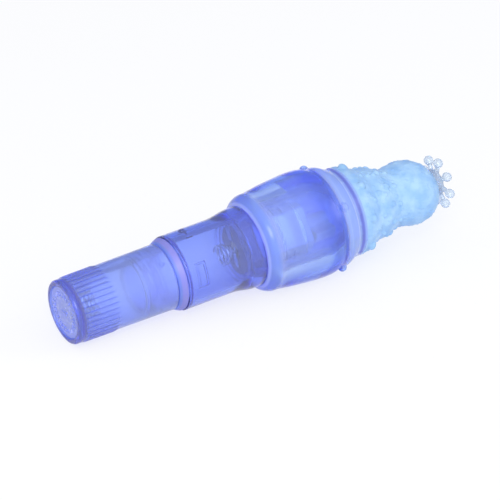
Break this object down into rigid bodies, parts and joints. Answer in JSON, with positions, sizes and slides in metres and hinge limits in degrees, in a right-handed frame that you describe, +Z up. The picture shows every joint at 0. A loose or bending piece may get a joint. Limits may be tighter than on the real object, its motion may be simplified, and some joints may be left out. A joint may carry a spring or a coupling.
{
  "type": "pocket hand massager",
  "caption": "Clear plastic battery massager with a screw cap, a domed motor head and a soft pull-off jelly sleeve with nubs and a crown of ball-tipped stems.",
  "frame": {"origin": "on the table, under the middle of the part as it lies on its cap and its sleeve", "axes": "+X along the part towards the tip, +Z up from the table; the long axis itself rises 5.0 degrees towards the tip"},
  "size_m": [0.1318, 0.0332, 0.0332],
  "materials": {
    "clear_blue": "polished, see-through",
    "clear_lilac": "satin, see-through",
    "jelly_blue": "soft, glossy, see-through",
    "jelly_clear": "soft, glossy, see-through",
    "nickel_strip": "nickel plated sheet",
    "spring_wire": "nickel plated wire",
    "brass": "plain",
    "motor_steel": "zinc plated",
    "dark_plastic": "moulded",
    "copper": "plain copper",
    "ferrite": "sintered"
  },
  "bodies": {
    "massager_body": {"battery_tube": "clear_blue", "tube_contact_strip": "nickel_strip", "contact_carrier": "clear_blue", "positive_contact": "nickel_strip", "positive_spring": "spring_wire", "motor_end_bell": "dark_plastic", "terminal_negative": "brass", "terminal_positive": "brass", "rear_bush": "brass", "motor_can": "motor_steel", "front_bush": "brass", "magnet_left": "ferrite", "magnet_right": "ferrite", "motor_holder_rear": "jelly_clear", "motor_holder_front": "jelly_clear", "collar_ring": "clear_lilac", "head_shell": "clear_blue"},
    "seal": {"cap_seal_ring": "clear_lilac"},
    "screw_cap": {"battery_cap": "clear_blue", "cap_end_disc": "clear_lilac", "cap_contact": "nickel_strip", "negative_spring": "spring_wire"},
    "rotor": {"armature": "motor_steel", "commutator": "copper", "motor_shaft": "motor_steel", "eccentric_weight": "motor_steel"},
    "sleeve": {"soft_sleeve": "jelly_blue", "tip_crown": "jelly_clear"}
  },
  "joints": [
    {"name": "cap_travel", "type": "slide", "parent": "massager_body", "child": "seal", "axis": [-0.9965, 0, -0.084], "range_m": [0, 0.0091]},
    {"name": "cap_twist", "type": "hinge", "parent": "seal", "child": "screw_cap", "pos_m": [-0.03191, 0, 0.0126], "axis": [-0.9965, 0, -0.084], "range_deg": [0, 1080]},
    {"name": "rotor_spin", "type": "hinge", "parent": "massager_body", "child": "rotor", "pos_m": [0.00456, 0, 0.01568], "axis": [0.9965, 0, 0.084], "continuous": true},
    {"name": "sleeve_pull", "type": "slide", "parent": "massager_body", "child": "sleeve", "axis": [0.9965, 0, 0.084], "range_m": [0, 0.036]}
  ],
  "couplings": [
    {"joint": "cap_travel", "follows": "cap_twist", "m_per_rad": 0.00047746}
  ]
}
